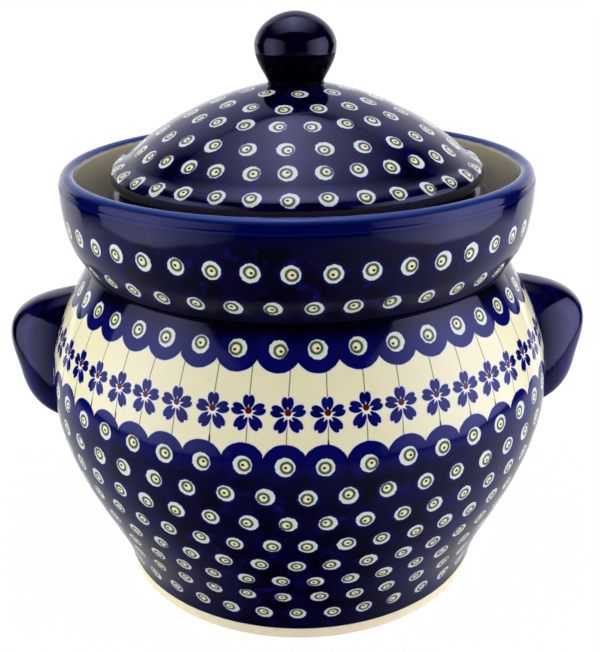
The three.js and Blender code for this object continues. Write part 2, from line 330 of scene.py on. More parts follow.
def nearest_stamp(turns, radius, along, rows):
    """Offsets right and up from the nearest stamp, in millimetres, and a key of its own for chance.
    A row is its length along the section, its count of stamps and its first stamp's share of a pitch."""
    centre, count, first = rows[0]
    for lower, upper in zip(rows, rows[1:]):
        past = along > (lower[0] + upper[0]) / 2
        centre = centre + past * (upper[0] - lower[0])
        count = count + past * (upper[1] - lower[1])
        first = first + past * (upper[2] - lower[2])
    spot = turns * count - first
    cell = spot.math("ROUND")
    right = (spot - cell) / count * radius * math.tau
    up = along - centre
    number = cell.math("FLOORED_MODULO", count)
    key = along.node("ShaderNodeCombineXYZ", {}, {0: number, 1: centre})
    return right, up, key


def chances(key, draw):
    """Three chance values from -1 to 1 that stay the same all over one stamp."""
    inputs = {"Vector": key, "W": draw}
    drawn = key.node("ShaderNodeTexWhiteNoise", {"noise_dimensions": "4D"}, inputs, "Color")
    red = key.node("ShaderNodeSeparateColor", {}, {0: drawn})
    return [(red.other(part) - 0.5) * 2 for part in ("Red", "Green", "Blue")]


# A slip is how far chance moves a mark across and up
EYE_RADIUS = 4.0
EYE_RADIUS_CHANCE = 0.2
EYE_SLIP = (0.5, 0.4)
EYE_FACETS = 9
EYE_FRINGE_WIDTH = 0.3
EYE_RING_RADIUS = 2.3
EYE_RING_HALF_WIDTH = 0.49
EYE_RING_BLEED = 0.15
EYE_RING_SLIP = (1.0, 0.8)
EYE_DOT_RADIUS = 0.72
EYE_DOT_SLIP = (0.6, 0.5)
EYE_DOT_FLATNESS = 1.2
EYE_WHITE = srgb(214, 221, 194)
EYE_FRINGE = srgb(206, 218, 222)
EYE_CREAM = srgb(233, 228, 184)
EYE_OLIVE = srgb(150, 156, 118)
EYE_GREEN = srgb(58, 76, 42)
EYE_DOT = srgb(72, 6, 2)


def nearest_eye(turns, radius, along, rows):
    """Offsets from the centre of the nearest eye stamp, which the hand sets a little off its place."""
    right, up, key = nearest_stamp(turns, radius, along, rows)
    slip = chances(key, draw=1.0)
    return right - slip[0] * EYE_SLIP[0], up - slip[1] * EYE_SLIP[1], key


def paint_eyes(under, place, right, up, key):
    """Eye stamps over a colour: a hand-cut white disc, a green ring and a small dark dot."""
    wander = chances(key, draw=2.0)
    tremble = chances(key, draw=3.0)

    # The disc's edge is half way between a circle and the flats of a hand-cut stamp
    facet_step = math.tau / EYE_FACETS
    turn = right.math("ARCTAN2", up) + wander[2] * facet_step
    from_facet = turn - (turn / facet_step).math("ROUND") * facet_step
    facet = from_facet.math("COSINE") * 0.5 + 0.5
    rough_edge = place.cloud(1.6) * 0.5 + place.cloud(0.8, 1.0) * 0.45
    reach = distance(right, up) * facet + rough_edge
    disc = reach.below(EYE_RADIUS + EYE_RADIUS_CHANCE * tremble[2], 0.22)
    heart = reach.below(EYE_RADIUS - EYE_FRINGE_WIDTH, 0.4)

    # The ring and its dot are printed by themselves, each a little off the middle
    ring_right = right - wander[0] * EYE_RING_SLIP[0]
    ring_up = up - wander[1] * EYE_RING_SLIP[1]
    ring_reach = distance(ring_right, ring_up) + place.cloud(1.4) * 0.4
    from_ring = abs(ring_reach - EYE_RING_RADIUS)
    worn = 0.92 + place.cloud(2.0) * 0.3
    ring = from_ring.below(EYE_RING_HALF_WIDTH, 0.3) * worn
    ring_edge = from_ring.below(EYE_RING_HALF_WIDTH + EYE_RING_BLEED, 0.5)
    middle = ring_reach.below(EYE_RING_RADIUS, 0.3)
    dot_right = ring_right - tremble[0] * EYE_DOT_SLIP[0]
    dot_up = (ring_up - tremble[1] * EYE_DOT_SLIP[1]) * EYE_DOT_FLATNESS
    dot = distance(dot_right, dot_up).below(EYE_DOT_RADIUS, 0.3)

    eye = heart.paint(EYE_FRINGE, EYE_WHITE)
    eye = middle.paint(eye, EYE_CREAM)
    eye = ring_edge.paint(eye, EYE_OLIVE)
    eye = ring.paint(eye, EYE_GREEN)
    eye = dot.paint(eye, EYE_DOT)
    return disc.paint(under, eye)


NAVY = srgb(6, 4, 48)
MIDNIGHT = srgb(2, 1, 11)
ROYAL = srgb(26, 22, 114)
HALO_WIDTH = 0.65


def cobalt_field(place, eye_reach):
    """The mottled cobalt ground: near black where it lies thick, and bluer round each stamp."""
    thinner = place.patches(15.0, 3.0, contrast=2.4, middle=0.45)
    halo = eye_reach.below(EYE_RADIUS + HALO_WIDTH, 2.2)
    blotch = place.patches(7.0, 3.0, contrast=4.0, middle=-0.35)
    ground = thinner.paint(MIDNIGHT, NAVY)
    return (halo * 0.5).most(blotch * 0.6).paint(ground, ROYAL)


BLOSSOM_SLIP = (0.6, 0.5)
BLOSSOM_TILT = 0.06
BLOSSOM_DROP = 0.8
PETAL_STEP = math.tau / 5
PETAL_MIDDLE = 4.6
PETAL_HALF_LENGTH = 3.15
PETAL_HALF_WIDTH = 2.5
PETAL_FLARE = 0.14
PETAL_TIP = 7.3
PETAL_FRINGE_WIDTH = 0.4
LOWER_PETAL_EXTRA = 1.0
NOTCH_DEPTH = 0.8
NOTCH_HALF_WIDTH = 0.55
SPIKE_START = 2.0
SPIKE_HALF_WIDTH = 0.42
SPIKE_TAPER = 0.3
FLOWER_HEART_RADIUS = 1.45
FLOWER_HEART_RISE = 0.1
FLOWER_STAR_RADIUS = 1.95
STEM_HALF_WIDTH = 0.24
STEM_END_HALF_WIDTH = STEM_HALF_WIDTH * 1.7
STEM_END_HEIGHT = -11.4
STEM_LEAN = 0.05
STEM_PIVOT = 2.0
PETAL = srgb(13, 14, 96)
PETAL_DARK = srgb(3, 3, 58)
FLOWER_HEART = srgb(90, 16, 5)
FLOWER_WHITE = srgb(232, 228, 208)
STEM = srgb(84, 97, 62)
STEM_END = srgb(22, 40, 26)
PALE_FRINGE = srgb(206, 213, 226)


def paint_stems(under, place, right, up, slip):
    """Thin green stems over a colour. Each leans by chance, and half of them have a thick dark end."""
    lean = (up - STEM_PIVOT) * STEM_LEAN * (slip[2] + 0.5)
    from_stem = abs(right - lean + place.cloud(9.0) * 0.5)
    stem = from_stem.below(STEM_HALF_WIDTH, 0.3)
    low_end = up.below(STEM_END_HEIGHT, 2.0) * (slip[0] > 0)
    stem_end = from_stem.below(STEM_END_HALF_WIDTH, 0.3) * low_end
    colour = (stem * 0.9).paint(under, STEM)
    return stem_end.paint(colour, STEM_END)


def paint_blossoms(under, place, right, up, slip):
    """Blossoms over a colour: five notched petals, the two lower ones longer, each with a pale fringe and
    a pale spike at its foot, round a white star with a red heart."""
    lower = up + BLOSSOM_DROP
    reach = distance(right, lower)
    turn = right.math("ARCTAN2", lower) + slip[2] * BLOSSOM_TILT
    petal = (turn / PETAL_STEP).math("ROUND")
    from_axis = turn - petal * PETAL_STEP
    extra = (abs(petal) > 1.5) * LOWER_PETAL_EXTRA
    out = reach * from_axis.math("COSINE")
    across = abs(reach * from_axis.math("SINE"))

    # A petal is an oval that flares outwards and is cut off at its tip, with a notch in the cut
    position = (out - PETAL_MIDDLE - extra * 0.5) / (PETAL_HALF_LENGTH + extra * 0.5)
    width = across / (PETAL_HALF_WIDTH * (1 + PETAL_FLARE * position))
    outline = (distance(width, position) - 1) * 2.2
    notch = (1 - across / NOTCH_HALF_WIDTH).most(0.0)
    tip = out - PETAL_TIP - extra + NOTCH_DEPTH * notch
    edge = outline.most(tip) + place.cloud(1.5) * 0.3
    spike = (across + (out - SPIKE_START) * SPIKE_TAPER).below(SPIKE_HALF_WIDTH, 0.2)
    petals = edge.below(0.0, 0.22) * (1 - spike)

    fringe = edge.below(PETAL_FRINGE_WIDTH, 0.5)
    star = reach.below(FLOWER_STAR_RADIUS, 0.6)
    heart_reach = distance(right, up - FLOWER_HEART_RISE) + place.cloud(1.5) * 0.3
    heart = heart_reach.below(FLOWER_HEART_RADIUS, 0.25)
    petal_tone = place.patches(3.0, 3.0, contrast=2.4, middle=0.6)
    colour = (fringe * 0.8).paint(under, PALE_FRINGE)
    colour = star.paint(colour, FLOWER_WHITE)
    colour = petals.paint(colour, petal_tone.paint(PETAL_DARK, PETAL))
    return heart.paint(colour, FLOWER_HEART)


# Rows of stamps on the pot, as nearest_stamp takes them
FLOWER_ROW = (142.4, 48, -0.475)
UPPER_SCALLOP_ROW = (168.1, 42, 0.318)
LOWER_SCALLOP_ROW = (119.4, 46, 0.436)
TOP_BELLY_ROW = (105.2, 47, -0.022)
POT_EYE_ROWS = [
    (17.9, 39, -0.279),
    (32.8, 40, 0.316),
    (47.8, 44, 0.243),
    (61.6, 45, -0.333),
    (76.4, 48, 0.005),
    (90.8, 48, 0.477),
    TOP_BELLY_ROW,
    LOWER_SCALLOP_ROW,
    UPPER_SCALLOP_ROW,
]
SCALLOP_RADIUS = 9.85
SCALLOP_SEAM = 1.1
SCALLOP_FRINGE_WIDTH = 0.4
CREASE_SHADE_WIDTH = 5.0
GLAZE_LINE_WIDTH = 0.35
GLAZE_ROLL_WIDTH = 2.0
LINING_START = CREASE_LENGTH + 1.5
SCALLOP = srgb(8, 8, 82)
CREAM = srgb(235, 230, 184)
CREAM_WARM = srgb(231, 223, 174)
BARE_CLAY = srgb(250, 239, 197)
BARE_CLAY_WARM = srgb(238, 223, 180)
GLAZE_LINE = srgb(176, 214, 198)


def pot_glaze():
    material, shader, place = new_glaze("pot_glaze")
    turns, radius, along = round_places(place)
    right, up, key = nearest_eye(turns, radius, along, POT_EYE_ROWS)
    eye_reach = distance(right, up)
    lower_row = LOWER_SCALLOP_ROW[0]
    upper_row = UPPER_SCALLOP_ROW[0]

    # Cream band with scallops above and below, and a row of blossoms between them
    scallop_reach = eye_reach + place.cloud(2.5) * 0.5
    in_band = (along > lower_row) * (1 - (along > upper_row))
    cream_mask = in_band * (1 - scallop_reach.below(SCALLOP_RADIUS, 0.25))
    cream = place.patches(16.0, 4.0).paint(CREAM, CREAM_WARM)
    fringe = scallop_reach.below(SCALLOP_RADIUS + SCALLOP_FRINGE_WIDTH, 0.5)
    cream = (fringe * 0.8).paint(cream, PALE_FRINGE)
    flower_right, flower_up, flower_key = nearest_stamp(turns, radius, along, [FLOWER_ROW])
    slip = chances(flower_key, draw=4.0)
    flower_right = flower_right - slip[0] * BLOSSOM_SLIP[0]
    flower_up = flower_up - slip[1] * BLOSSOM_SLIP[1]
    cream = paint_stems(cream, place, flower_right, flower_up, slip)
    cream = paint_blossoms(cream, place, flower_right, flower_up, slip)

    # Cobalt ground, bluer on the scallops towards the cream, and darkened near the crease by painted
    # shade from the collar
    field = cobalt_field(place, eye_reach)
    scallop_rows = along > (TOP_BELLY_ROW[0] + lower_row) / 2
    towards_cream = up * (1 - 2 * (along > (lower_row + upper_row) / 2))
    shaded = place.cloud(6.0, 3.0) * 0.6 + 0.64
    disc = scallop_reach.below(SCALLOP_RADIUS - SCALLOP_SEAM, 1.0) * scallop_rows
    edge = (towards_cream * 0.3 - 1.0).clamped() * scallop_rows
    scallop_tone = ((towards_cream * 0.08 + shaded).clamped() * disc).most(edge)
    field = scallop_tone.paint(field, SCALLOP)
    # Painted shade: the ground goes near black in the last millimetres below the crease, in the collar's
    # shadow
    crease_shade = 1 - along.below(CREASE_LENGTH - CREASE_SHADE_WIDTH, 5.0)
    field = (crease_shade * 0.85).paint(field, MIDNIGHT)
    colour = cream_mask.paint(field, cream)
    colour = paint_eyes(colour, place, right, up, key)

    # The glaze ends in a thin pale line above the bare foot; past the crease it is only clear glaze
    wiped = along + place.cloud(12.0) * 0.5
    foot = wiped.below(GLAZE_EDGE, 0.25)
    line = wiped.below(GLAZE_EDGE + GLAZE_LINE_WIDTH, 0.3)
    thick_edge = wiped.below(GLAZE_EDGE + GLAZE_ROLL_WIDTH, 3.0)
    colour = (thick_edge * 0.7).paint(colour, MIDNIGHT)
    colour = line.paint(colour, GLAZE_LINE)
    clay = place.patches(5.0, 5.0).paint(BARE_CLAY, BARE_CLAY_WARM)
    colour = foot.paint(colour, clay)
    inner = 1 - along.below(LINING_START, 1.0)
    inner.paint(colour, clear_lining(place)).feed(shader, "Base Color")
    glaze_finish(place, shader, foot * CLAY_DULLNESS)
    return material


crock_body.data.materials.append(pot_glaze())
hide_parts("crock_body")
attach(crock_body, "crock")


# The collar is the outer wall of the water gutter: a flared ring thrown by itself and luted to the
# shoulder. Its outside is stamped cobalt, duller low down, and bluer over the lip, partly where the glaze
# runs thin and partly as a painted highlight; the inside is clear glazed like the gutter.
CREASE_EASE = 1.1
COLLAR_SWELL = (116.3, 209.6)
COLLAR_SEAT = 101.0
COLLAR_BORE = 98.3
LIP_CENTRE = (111.7, 211.6)
LIP_ROLL = (3.8, 3.8)
LIP_INSIDE = (107.9, 209.6)

# Lengths along the section from the crease
DULL_END = 15.0
LIP_START = 38.5
RIM_START = 43.4
RIM_THIN_LIT_START = 48.8
RIM_END = 55.5
COLLAR_EYE_ROWS = [(9.9, 42, 0.217), (27.4, 45, -0.317)]
COLLAR_DULLNESS = 0.3
LIP_NAVY = srgb(1, 1, 42)
LIP_LINE = srgb(16, 26, 98)
LIP_LINE_HALF_WIDTH = 0.3
RIM_BLUE = srgb(3, 7, 62)
RIM_THIN_LIT_BLUE = srgb(36, 64, 126)


def arc(centre, radii, start, end, steps):
    """Points on an ellipse about a centre, from one angle to another in degrees."""
    points = []
    for i in range(steps + 1):
        angle = math.radians(start + (end - start) * i / steps)
        points.append((centre[0] + radii[0] * math.cos(angle), centre[1] + radii[1] * math.sin(angle)))
    return points


def collar_section():
    """Half section of the collar, from the crease up the outside, over the lip and down the inside."""
    outside = curve(CREASE, (110.03, 178.17), (COLLAR_SWELL[0], 178.17), COLLAR_SWELL, 60)
    foot = eased([(COLLAR_SEAT, CREASE[1]), CREASE, outside[4]], CREASE_EASE)
    roll = arc(LIP_CENTRE, LIP_ROLL, 0, 180, 24)
    rise = curve(COLLAR_SWELL, (COLLAR_SWELL[0], 210.4), (115.5, 210.8), roll[0], 6)
    inside = curve(LIP_INSIDE, (LIP_INSIDE[0], 183.0), (102.5, 184.4), (COLLAR_BORE, GUTTER_FLOOR), 30)
    bore = [(COLLAR_BORE, 172.0), (COLLAR_BORE, CREASE[1])]
    return foot + outside[5:] + rise[1:] + roll[1:] + inside + bore


def collar_glaze():
    material, shader, place = new_glaze("collar_glaze")
    turns, radius, along = round_places(place)
    right, up, key = nearest_eye(turns, radius, along, COLLAR_EYE_ROWS)
    field = cobalt_field(place, distance(right, up))
    brushed = along + place.cloud(30.0, 3.0) * 3.0
    lip = 1 - brushed.below(LIP_START, 2.0)
    colour = lip.paint(field, LIP_NAVY)
    colour = paint_eyes(colour, place, right, up, key)
    rim_place = along + place.cloud(12.0) * 0.6
    rim = 1 - rim_place.below(RIM_START, 0.4)
    line = abs(rim_place - RIM_START).below(LIP_LINE_HALF_WIDTH, 0.4)
    # Painted highlight: over the top of the lip the blue is lighter, partly for the thin glaze and partly
    # standing in for light on the roll
    thin = 1 - rim_place.below(RIM_THIN_LIT_START, 3.0)
    colour = rim.paint(colour, thin.paint(RIM_BLUE, RIM_THIN_LIT_BLUE))
    colour = (line * 0.4).paint(colour, LIP_LINE)
    inner = 1 - (along + place.cloud(6.0)).below(RIM_END, 1.2)
    inner.paint(colour, clear_lining(place)).feed(shader, "Base Color")
    glaze_finish(place, shader, along.below(DULL_END, 6.0) * COLLAR_DULLNESS)
    return material


water_collar = turned("water_collar_glazed", collar_section(), CREASE, closed=True)
water_collar.data.materials.append(collar_glaze())
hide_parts("water_collar")
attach(water_collar, "crock")


# Two ear handles, pressed as shells with a finger pocket open underneath, are luted to the belly, not
# quite level with each other. They are dipped in plain dark cobalt that runs in streaks, with no stamps.
HANDLE_TOP = 149.6


def pot_radius(height):
    """Outer radius of the pot at a height between its foot and the crease."""
    for (r0, z0), (r1, z1) in zip(pot_outside, pot_outside[1:]):
        if z0 <= height <= z1:
            return r0 + (r1 - r0) * (height - z0) / (z1 - z0)


HANDLE_ROOT = pot_radius(HANDLE_TOP) - 2.8
HANDLE_END = (HANDLE_ROOT + 6.0, HANDLE_TOP)
HANDLE_UNDER = (122.3, 89.2)
HANDLE_LIP = (147.6, 107.8)
HANDLE_WIDEST = (151.3, 127.2)
HANDLE_HALF_WIDTH = 30.0
HANDLE_SQUARENESS = 2.5
HANDLE_ARCH = 2.0
HANDLE_CREST = 1.5
HANDLE_SHELL = 6.0
HANDLE_ROUND_STEPS = 64
HANDLE_SHARP_DEGREES = 40
HANDLE_SEAT_DEPTH = 0.8
POCKET_TOP = HANDLE_TOP - HANDLE_SHELL - 2.0
POCKET_OPENING = 76.0
POCKET_LIP = (HANDLE_LIP[0] - HANDLE_SHELL, HANDLE_LIP[1])
POCKET_WIDEST = (HANDLE_WIDEST[0] - HANDLE_SHELL, HANDLE_WIDEST[1] - HANDLE_SHELL / 2)
POCKET_SQUARENESS = 3.2


def lug(name, side, half_width, arch_top, squareness):
    """A closed lug through level sections, each a rounded outline standing out from the root plane.
    The sections narrow upwards like an arch."""
    low = side[0][1]
    vertices = []
    size = HANDLE_ROUND_STEPS + 1
    for radius, height in side:
        rise = (height - low) / (arch_top - low)
        half = half_width * (1 - rise ** HANDLE_ARCH) ** (1 / HANDLE_ARCH)
        for i in range(size):
            angle = math.pi * (i / HANDLE_ROUND_STEPS - 0.5)
            across = math.copysign(abs(math.sin(angle)) ** (2 / squareness), math.sin(angle))
            outward = abs(math.cos(angle)) ** (2 / squareness)
            x = HANDLE_ROOT + (radius - HANDLE_ROOT) * outward
            vertices.append((x * MM, half * across * MM, height * MM))
    faces = []
    for ring in range(len(side) - 1):
        for i in range(size):
            a = ring * size + i
            b = ring * size + (i + 1) % size
            faces.append((a, b, b + size, a + size))
    last = (len(side) - 1) * size
    faces.append(list(reversed(range(size))))
    faces.append(list(range(last, last + size)))
    mesh = bpy.data.meshes.new(name)
    mesh.from_pydata(vertices, [], faces)
    return placed(name, mesh)


def cut(piece, cutters):
    """Takes the cutters' solids out of a piece and deletes them."""
    for cutter in cutters:
        modifier = piece.modifiers.new("cut", "BOOLEAN")
        modifier.object = cutter
        modifier.operation = "DIFFERENCE"
        modifier.solver = "EXACT"
    graph = bpy.context.evaluated_depsgraph_get()
    mesh = bpy.data.meshes.new_from_object(piece.evaluated_get(graph))
    piece.modifiers.clear()
    piece.data = mesh
    for cutter in cutters:
        bpy.data.objects.remove(cutter)


def ear_handle(name, lift):
    """The shell of one handle on +X, trimmed to the belly. The hand set it higher or lower by lift."""
    under = curve(HANDLE_UNDER, (136.0, HANDLE_UNDER[1]), (144.6, 92.0), HANDLE_LIP, 20)
    front = curve(HANDLE_LIP, (148.6, 114.3), (HANDLE_WIDEST[0], 120.7), HANDLE_WIDEST, 16)
    over = curve(HANDLE_WIDEST, (HANDLE_WIDEST[0], 139.8), (141.5, 146.3), HANDLE_END, 36)
    side = under + front[1:] + over[1:]
    handle = lug(name, side, HANDLE_HALF_WIDTH, HANDLE_TOP + HANDLE_CREST, HANDLE_SQUARENESS)

    pocket_end = (HANDLE_END[0], POCKET_TOP)
    pocket_over = curve(POCKET_WIDEST, (POCKET_WIDEST[0], 134.4), (135.3, POCKET_TOP), pocket_end, 16)
    pocket_side = [(POCKET_LIP[0], POCKET_OPENING), POCKET_LIP] + pocket_over
    pocket_half_width = HANDLE_HALF_WIDTH - HANDLE_SHELL
    pocket = lug("pocket", pocket_side, pocket_half_width, POCKET_TOP + HANDLE_CREST, POCKET_SQUARENESS)
    for part in (handle, pocket):
        part.data.transform(Matrix.Translation((0.0, 0.0, lift * MM)))

    seat_wall = [(radius - HANDLE_SEAT_DEPTH, height) for radius, height in pot_outside[::4]]
    seat = turned("seat", [(0.0, FOOT[1])] + seat_wall + [(0.0, seat_wall[-1][1])])
    cut(handle, [pocket, seat])
    handle.data.set_sharp_from_angle(angle=math.radians(HANDLE_SHARP_DEGREES))
    return handle


HANDLE_DARK = srgb(1, 1, 18)
HANDLE_BLUE = srgb(10, 8, 74)
HANDLE_GLOSS = 0.65
HANDLE_RELIEF = 0.6
RUN_SQUEEZE = (1.0, 1.0, 0.25)


def cobalt_glaze(name, thick, thin, gloss, relief=GLAZE_RELIEF):
    """Plain cobalt glaze, from the colour where it lies thick to the colour where it is thin. It runs
    down the piece in long streaks."""
    material, shader, place = new_glaze(name)
    shader.inputs["Specular IOR Level"].default_value = gloss
    inputs = {0: place, 1: RUN_SQUEEZE}
    stretched = place.node("ShaderNodeVectorMath", {"operation": "MULTIPLY"}, inputs)
    runs = stretched.patches(9.0, 3.0, contrast=3.4, middle=0.34)
    runs.paint(thick, thin).feed(shader, "Base Color")
    (0.06 + runs * 0.06).feed(shader, "Roughness")
    glaze_relief(place, shader, relief)
    return material


plain_cobalt = cobalt_glaze("cobalt_glaze", HANDLE_DARK, HANDLE_BLUE, HANDLE_GLOSS, HANDLE_RELIEF)
for side_name, half_turn, lift in (("right", 0.0, 1.7), ("left", math.pi, -0.4)):
    handle = ear_handle("handle_" + side_name + "_glazed", lift)
    handle.data.transform(Matrix.Rotation(half_turn, 4, "Z"))
    handle.data.materials.append(plain_cobalt)
    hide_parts("handle_" + side_name)
    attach(handle, "crock")


# Two half-moon weights lie on the floor of the pot and keep the food under the brine. They are
# pressed from the same stoneware and fired bare, with a finger notch in the straight edge.
WEIGHT_RADIUS = 75.0
WEIGHT_THICKNESS = 16.0
WEIGHT_HALF_GAP = 1.5
WEIGHT_EASE = 2.0
WEIGHT_SHARP_DEGREES = 40
FINGER_NOTCH = 11.0
WEIGHT_TAN = srgb(206, 188, 156)
WEIGHT_SPECK = srgb(140, 116, 84)
WEIGHT_GRAIN = 0.2


def half_moon(name):
    """One weight on +X: its outline raised to its thickness, with rounded edges."""
    sweep = math.degrees(math.acos(WEIGHT_HALF_GAP / WEIGHT_RADIUS))
    outline = arc((0.0, 0.0), (WEIGHT_RADIUS, WEIGHT_RADIUS), -sweep, sweep, 64)
    outline += arc((WEIGHT_HALF_GAP, 0.0), (FINGER_NOTCH, FINGER_NOTCH), 90, -90, 24)
    count = len(outline)
    vertices = []
    for height in (POT_FLOOR, POT_FLOOR + WEIGHT_THICKNESS):
        vertices += [(x * MM, y * MM, height * MM) for x, y in outline]
    faces = [list(reversed(range(count))), list(range(count, 2 * count))]
    for i in range(count):
        after = (i + 1) % count
        faces.append((i, after, after + count, i + count))
    mesh = bpy.data.meshes.new(name)
    mesh.from_pydata(vertices, [], faces)
    weight = placed(name, mesh)
    bevel = weight.modifiers.new("rounded_edges", "BEVEL")
    bevel.width = WEIGHT_EASE * MM
    bevel.segments = 4
    bevel.limit_method = "ANGLE"
    bevel.angle_limit = math.radians(WEIGHT_SHARP_DEGREES)
    return weight


def bare_stoneware():
    material, shader, place = new_glaze("bare_stoneware")
    tone = place.patches(20.0, 4.0, contrast=1.2)
    speck = place.patches(1.4, 2.0, contrast=9.0, middle=-2.0)
    colour = tone.paint(BARE_CLAY, WEIGHT_TAN)
    (speck * 0.5).paint(colour, WEIGHT_SPECK).feed(shader, "Base Color")
    (0.8 + place.cloud(6.0) * 0.1).feed(shader, "Roughness")
    raise_relief(shader, place.cloud(0.8, 4.0), WEIGHT_GRAIN)
    return material


fired_clay = bare_stoneware()
for side_name, half_turn in (("right", 0.0), ("left", math.pi)):
    weight = half_moon("weight_" + side_name + "_stoneware")
    weight.data.transform(Matrix.Rotation(half_turn, 4, "Z"))
    weight.data.materials.append(fired_clay)
    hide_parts("weight_" + side_name)
    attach(weight, "weight_" + side_name)


# The lid is a thrown dome with a rounded flange and a skirt that stands in the water of the gutter.
# Stamped cobalt covers its outside; the underside is clear glazed and the skirt's foot is wiped bare.
# Two half-round vents in the skirt's edge let gas out through the water.
SKIRT_FOOT = GUTTER_FLOOR
SKIRT_EASE = 1.4
SKIRT_SHOULDER = (95.6, 197.0)
LID_INSIDE = (83.3, 211.6)
CROWN = 252.3
VENT_RADIUS = 5.0
VENT_EDGE = 1.5
FLANGE_CENTRE = (84.9, 211.6)
FLANGE_RADII = (7.1, 6.1)
FLANGE = arc(FLANGE_CENTRE, FLANGE_RADII, -80, 65, 30)

# Lengths along the section from the flange's lower end
LID_EYE_ROWS = [
    (-21.0, 36, 0.2),
    (15.5, 35, -0.322),
    (30.2, 31, -0.385),
    (43.9, 24, -0.355),
    (59.9, 21, 0.364),
    (73.9, 15, -0.419),
    (89.1, 9, 0.09),
]
SKIRT_BARE_START = -38.0
LID_LINING_START = -46.0


def lid_section():
    """Half section of the lid: underside, skirt, groove, flange and dome."""
    underside = curve((0.0, 245.8), (47.0, 240.0), (73.8, 221.3), LID_INSIDE, 40)
    skirt = eased([
        LID_INSIDE, (83.3, 204.0), (89.1, 197.0), (90.1, 184.0), (90.1, SKIRT_FOOT),
        (96.6, SKIRT_FOOT), (96.2, 184.0), SKIRT_SHOULDER,
    ], SKIRT_EASE)
    shoulder = curve(SKIRT_SHOULDER, (94.6, 200.5), (92.0, 204.0), (89.8, 204.0), 12)
    dome = curve((84.9, 217.7), (75.4, 227.8), (47.0, 246.5), (13.5, CROWN), 70)
    valley = curve(FLANGE[-1], (85.9, 217.9), (83.2, 219.3), dome[8], 12)
    outside = shoulder[1:] + FLANGE + valley[1:] + dome[9:]
    return underside[:-1] + skirt + outside + [(0.0, CROWN)]


def lid_glaze():
    material, shader, place = new_glaze("lid_glaze")
    turns, radius, along = round_places(place)
    right, up, key = nearest_eye(turns, radius, along, LID_EYE_ROWS)
    colour = cobalt_field(place, distance(right, up))
    colour = paint_eyes(colour, place, right, up, key)
    skirt_foot = along.below(SKIRT_BARE_START, 0.5)
    colour = skirt_foot.paint(colour, BARE_CLAY)
    under = along.below(LID_LINING_START, 0.5)
    under.paint(colour, clear_lining(place)).feed(shader, "Base Color")
    glaze_finish(place, shader, (skirt_foot - under) * CLAY_DULLNESS)
    return material


lid_cap = turned("lid_cap_glazed", lid_section(), FLANGE[0])
for vertex in lid_cap.data.vertices:
    if vertex.co.z < (SKIRT_FOOT + VENT_EDGE) * MM and abs(vertex.co.x) < VENT_RADIUS * MM:
        vertex.co.z += math.sqrt((VENT_RADIUS * MM) ** 2 - vertex.co.x ** 2)
lid_cap.data.materials.append(lid_glaze())
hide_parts("lid_cap")
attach(lid_cap, "lid")


# The knob is a pear-shaped grip, thrown by itself, luted to the crown of the lid and dipped in
# cobalt so thick that it is near black. A soft fillet of slip rounds its foot. The narrow neck over it
# has a shaded copy of the glaze, with no blue and hardly any shine, as painted shade.
KNOB_BASE = 13.0
KNOB_RADIUS = 19.7
KNOB_WIDEST = 17.9
KNOB_RISE = 33.2
KNOB_SEAT = -1.6
KNOB_NECK_TOP = 14.4
KNOB_GLOSS = 0.46
NECK_SHADE_GLOSS = 0.03
KNOB_DARK = srgb(0, 0, 6)
KNOB_BLUE = srgb(1, 1, 24)


def knob_section():
    """Half section of the knob, whose sizes count up from the crown: seat, fillet, neck and cap."""
    widest = (KNOB_RADIUS, KNOB_WIDEST)
    neck = curve((KNOB_BASE, 0.0), (14.6, 4.8), (KNOB_RADIUS, 9.6), widest, 40)
    cap = curve(widest, (KNOB_RADIUS, 25.75), (KNOB_RADIUS / 2, KNOB_RISE), (0.0, KNOB_RISE), 40)
    fillet = curve((15.2, -0.7), (14.0, -0.2), (13.3, 0.5), neck[4], 10)
    section = [(0.0, KNOB_SEAT), (14.6, KNOB_SEAT)] + fillet + neck[5:] + cap[1:]
    return [(radius, CROWN + rise) for radius, rise in section]


lid_knob = turned("lid_knob_glazed", knob_section())
lid_knob.data.materials.append(cobalt_glaze("dark_cobalt_glaze", KNOB_DARK, KNOB_BLUE, KNOB_GLOSS))
# Painted shade: the neck takes a darker, almost unshining copy of the knob's glaze
lid_knob.data.materials.append(cobalt_glaze("neck_shaded_glaze", KNOB_DARK, KNOB_DARK, NECK_SHADE_GLOSS))
for face in lid_knob.data.polygons:
    if face.center.z < (CROWN + KNOB_NECK_TOP) * MM:
        face.material_index = 1
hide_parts("lid_knob")
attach(lid_knob, "lid")


# The studio is a white sweep to stand on, a soft panel at either side, one overhead and a dark room in
# front. The world is plain white to the camera only: reflections see a white backdrop and the lit floor,
# and the ambient light comes mostly from the sides. Sizes here are in metres.
FLOOR_HALF = 12.0
FLOOR_LEVEL = -0.0003
FLOOR_WHITE = (0.9, 0.9, 0.9, 1.0)
SHADOW_REACH = 0.15
SHADOW_SOFTNESS = 0.2
FLOOR_CLEARING = 0.985
PANEL_WHITE = (0.94, 0.95, 1.8)
BACKDROP_WHITE = (1.0, 1.0, 1.08, 1.0)
FLOOR_REFLECTED = (0.94, 0.95, 1.65, 1.0)
AMBIENT_WHITE = (1.01, 1.0, 0.87, 1.0)
PLAIN_WHITE = (1.0, 1.0, 1.0, 1.0)


